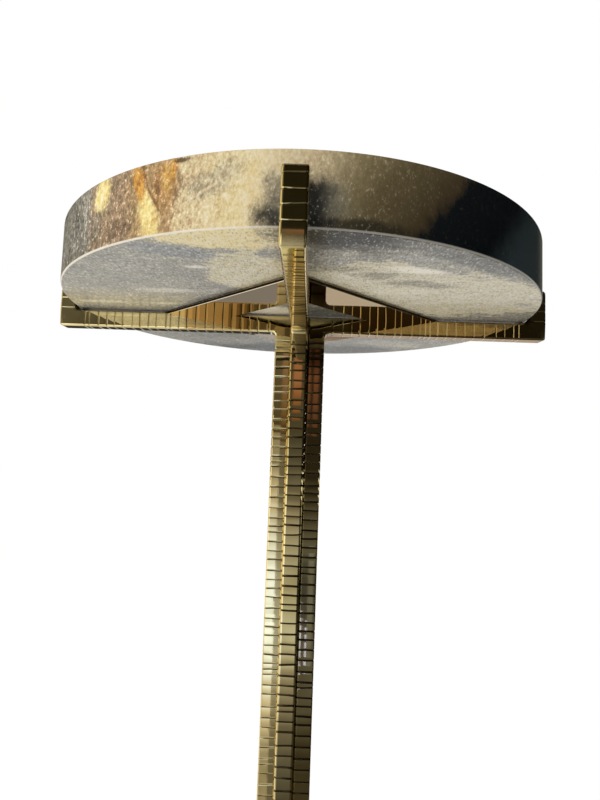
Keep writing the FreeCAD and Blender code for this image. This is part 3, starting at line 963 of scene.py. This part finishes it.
def light_room():
    """The room: white to the camera, an even soft light for the stone, and for the polished
    metal a bright window on the left, white behind the table and dark on the right."""
    world = bpy.data.worlds.new("room")
    bpy.context.scene.world = world
    world.use_nodes = True
    tree = world.node_tree
    tree.nodes.clear()
    way = put(tree, "TexCoord", out="Generated")
    axes = put(tree, "SeparateXYZ", {0: way}).node.outputs
    degrees = bearing(tree, axes)[1]
    mirrored = colours_along(tree, degrees, ROOM_COLOURS)
    rays = put(tree, "LightPath").node.outputs
    room = put(tree, "Mix", {0: rays["Is Glossy Ray"], 6: linear("#C3C3C4"), 7: mirrored}, 2,
               data_type="RGBA")
    seen = put(tree, "Mix", {0: rays["Is Camera Ray"], 6: room, 7: linear("#FFFFFF")}, 2,
               data_type="RGBA")
    put(tree, "OutputWorld", {"Surface": put(tree, "Background", {"Color": seen})})


light_room()


def add_card(name, corners, axis, strength, stops):
    """A card that only polished metal sees. Its colour changes along one axis, by metres."""
    material, tree = new_tree(name)
    place = put(tree, "NewGeometry", out="Position")
    along = put(tree, "SeparateXYZ", {0: place}, axis)
    colour = colours_along(tree, along, stops)
    glow = put(tree, "Emission", {"Color": colour, "Strength": strength})
    put(tree, "OutputMaterial", {"Surface": glow})
    card = stage_sheet(name, corners, material)
    card.visible_camera = False
    card.visible_diffuse = False
    card.visible_transmission = False
    card.visible_shadow = False


# Distances of the cards in front of the stem: the wall, panels just before it, and a near screen.
WALL = 1.0
PANEL = 0.99
SCREEN = 0.7
DARK_TERRACOTTA = [(0.48, "#5E4034"), (0.66, "#84584A")]
# Tones of the cards that the uprights mirror, from pale to dark.
CREAM = "#E0DCCB"
SKY = "#C6D7FC"
CLOUD = "#CACECE"
PALE = "#B8BEC8"
GREY = "#9E9A95"
STEEL = "#777B80"
DUSK = "#797672"
SHADE = "#5E5D5A"
SLATE = "#4E5156"
UMBER = "#423D33"
INK = "#2C2822"
# Cards that stand in front of the table: left and right edge, distance, strength, and the
# colours up the card by height.
STANDING_CARDS = {
    "sunlit_wall": (-0.75, -0.3, WALL, 1.8, [(0.0, "#FBF8F0"), (0.5, "#F3EEE2")]),
    "pale_wall": (-0.3, -0.2, WALL, 1.2, [(0.0, "#FBF8F0"), (0.42, "#F4EFE2")]),
    "grey_wall": (-0.2, -0.15, WALL, 1.0, [(0.0, "#F0ECE0"), (0.2, "#BCB6A6"), (0.42, "#B4AE9C")]),
    "doorway": (-0.15, -0.092, WALL, 1.0, [(0.0, "#E0DCD0"), (0.2, "#8A8474"), (0.42, "#7C7666")]),
    "lit_wall": (-0.092, -0.0655, WALL, 2.0, [
        (0.0, SKY), (0.1, SKY), (0.3, GREY), (0.4, DUSK), (0.45, DUSK), (0.475, UMBER), (0.65, UMBER),
    ]),
    "lit_wall_edge": (-0.0655, -0.047, WALL, 1.0, [
        (0.0, PALE), (0.25, GREY), (0.3, DUSK), (0.5, DUSK),
    ]),
    "half_lit_wall": (-0.047, -0.005, WALL, 1.0, [
        (0.0, CLOUD), (0.25, GREY), (0.3, DUSK), (0.4, SHADE), (0.65, UMBER),
    ]),
    "shaded_wall": (-0.005, 0.6, WALL, 1.0, [
        (0.0, SLATE), (0.12, SLATE), (0.17, SHADE), (0.3, UMBER), (0.35, INK), (0.65, INK),
    ]),
    "terracotta_edge": (-0.0655, -0.047, PANEL, 1.0, [
        (0.44, "#5A4A36"), (0.5, "#806549"), (0.65, "#8C7260"),
    ]),
    "terracotta_panel": (-0.0375, -0.0165, PANEL, 1.0, [
        (0.49, "#59543F"), (0.53, "#96694F"), (0.64, "#AC7C60"),
    ]),
    "terracotta_slit": (-0.005, 0.0062, PANEL, 1.0, DARK_TERRACOTTA),
    "terracotta_strip": (0.0122, 0.0255, PANEL, 1.0, DARK_TERRACOTTA),
    "grey_strip": (0.0143, 0.0247, SCREEN, 1.0, [(0.015, STEEL), (0.22, STEEL)]),
    "pale_slit_left": (0.0013, 0.004, SCREEN, 2.0, [(0.012, "#AFB8FF"), (0.1, "#AFB8FF")]),
    "pale_slit": (0.0117, 0.0143, SCREEN, 2.0, [(0.02, "#AFB8FF"), (0.08, "#AFB8FF")]),
}
# Mats on the floor that change colour: corners, strength, and the colours from front to back.
FLOOR_CARDS = {
    "sunlit_mat": ([(-0.7, -1.0), (-0.0635, -1.0), (-0.0126, -0.03), (-0.25, -0.03)], 2.3, [
        (-0.8, SKY), (-0.55, GREY), (-0.43, DUSK), (-0.32, DUSK), (-0.25, GREY),
    ]),
    "sunlit_mat_edge": ([(-0.0635, -1.0), (-0.045, -1.0), (-0.008, -0.03), (-0.0126, -0.03)], 1.0, [
        (-0.75, PALE), (-0.6, GREY), (-0.45, DUSK), (-0.32, DUSK), (-0.25, CREAM),
    ]),
    "half_lit_mat": ([(-0.045, -1.0), (-0.005, -1.0), (0.0045, -0.03), (-0.008, -0.03)], 1.0, [
        (-0.85, CLOUD), (-0.7, GREY), (-0.55, DUSK), (-0.4, SHADE), (-0.2, UMBER), (-0.1, GREY),
    ]),
    "shaded_mat": ([(-0.005, -1.0), (0.6, -1.0), (0.6, -0.03), (0.0045, -0.03)], 1.0, [
        (-0.55, SHADE), (-0.4, UMBER),
    ]),
    "dim_mat_back": ([(0.1, 2.75), (2.0, 2.75), (4.0, 6.0), (0.2, 6.0)], 1.0, [
        (2.95, "#B2B4B1"), (3.1, "#8A8C89"),
    ]),
    "dim_mat_back_left": ([(-2.0, 2.75), (0.1, 2.75), (0.2, 6.0), (-4.0, 6.0)], 1.0, [
        (2.9, "#B2B4B1"), (3.0, "#565855"),
    ]),
}
# Mats on the floor of one colour: corners, strength, colour.
PLAIN_MATS = {
    "dark_mat": ([(0.6, -4.0), (4.0, -4.0), (4.0, -0.03), (0.6, -0.03)], 1.0, "#2A2822"),
    "dark_mat_right": ([(0.03, -0.03), (4.0, -0.03), (4.0, 0.9), (0.2, 0.9)], 1.0, "#2A2822"),
    "grey_mat_back": ([(-0.55, 1.4), (-0.03, 1.4), (-0.03, 2.2), (-0.55, 2.2)], 1.0, "#B8BCC6"),
    "pale_mat_left": ([(-0.32, 2.5), (-0.03, 2.5), (-0.03, 2.75), (-0.32, 2.75)], 1.1, "#E4ECFF"),
    "shadow_mat_back": ([(-0.02, 0.95), (0.22, 0.95), (0.27, 1.4), (-0.02, 1.4)], 1.0, "#33332F"),
    "dark_mat_back": ([
        (-1.4, 2.25), (-0.03, 2.25), (-0.03, 2.5), (-0.32, 2.5), (-0.32, 2.7), (-1.4, 2.7),
    ], 1.0, "#3F3C33"),
    "pale_mat_back": ([(0.05, 2.25), (4.0, 2.25), (4.0, 2.7), (0.05, 2.7)], 1.0, "#B9ABAB"),
}
MAT_LEVEL = 1.5 * MM
for name, (left, right, distance, strength, stops) in STANDING_CARDS.items():
    low, high = stops[0][0], stops[-1][0]
    edges = [(left, low), (right, low), (right, high), (left, high)]
    add_card(name, [(x, -distance, z) for x, z in edges], 2, strength, stops)
for name, (corners, strength, stops) in FLOOR_CARDS.items():
    add_card(name, [(x, y, MAT_LEVEL) for x, y in corners], 1, strength, stops)
for name, (corners, strength, colour) in PLAIN_MATS.items():
    add_card(name, [(x, y, MAT_LEVEL) for x, y in corners], 1, strength, [(0, colour), (1, colour)])

# Lamps, which all point at the middle under the top: place, size, power in watts and colour.
LIT_PLACE = Vector((0, 0, 0.5))
LAMPS = {
    "window_left": ((-1.15, -0.75, 0.85), (0.8, 1.0), 11.0, "#FFF1DC"),
    "floor_bounce": ((0, 0, 0.03), (1.2, 1.2), 1.1, "#FFFBF4"),
    "fill_right": ((1.3, -0.9, 0.5), (0.5, 0.8), 1.2, "#E8EEF4"),
}


def add_lamp(name, place, size, power, colour):
    """A soft lamp. Polished metal sees the cards instead of it, or the eased edges would shine
    with pale lines that real room light doesn't leave."""
    lamp = bpy.data.lights.new(name, "AREA")
    lamp.shape = "RECTANGLE"
    lamp.size, lamp.size_y = size
    lamp.energy = power
    lamp.color = linear(colour)[:3]
    holder = bpy.data.objects.new(name, lamp)
    holder.location = place
    holder.rotation_euler = (LIT_PLACE - Vector(place)).to_track_quat("-Z", "Y").to_euler()
    bpy.context.scene.collection.objects.link(holder)
    holder.visible_glossy = False


for name, (place, size, power, colour) in LAMPS.items():
    add_lamp(name, place, size, power, colour)

# Camera, as fitted to the edges of the slab, the arms and the stem in the photograph.
PHOTO_HEIGHT_PX = 800
FOCAL_PX = 540
FILM_HEIGHT = 36.0
NEAREST_SEEN = 10 * MM
CAMERA_PLACE = (9.3 * MM, -361.5 * MM, 429.3 * MM)
CAMERA_PITCH_DEGREES = 4.67
CAMERA_ROLL_DEGREES = 2.1
CAMERA_HEADING_DEGREES = 1.24
camera_data = bpy.data.cameras.new("camera")
camera_data.sensor_fit = "VERTICAL"
camera_data.sensor_height = FILM_HEIGHT
camera_data.lens = FOCAL_PX * FILM_HEIGHT / PHOTO_HEIGHT_PX
camera_data.clip_start = NEAREST_SEEN
camera = bpy.data.objects.new("camera", camera_data)
pitch = math.radians(CAMERA_PITCH_DEGREES)
roll = math.radians(CAMERA_ROLL_DEGREES)
heading = math.radians(CAMERA_HEADING_DEGREES)
aimed = Matrix.Rotation(heading, 4, "Z") @ Matrix.Rotation(QUARTER + pitch, 4, "X")
camera.matrix_world = Matrix.Translation(CAMERA_PLACE) @ aimed @ Matrix.Rotation(roll, 4, "Z")
bpy.context.scene.collection.objects.link(camera)
bpy.context.scene.camera = camera
bpy.context.scene.view_settings.view_transform = "Standard"
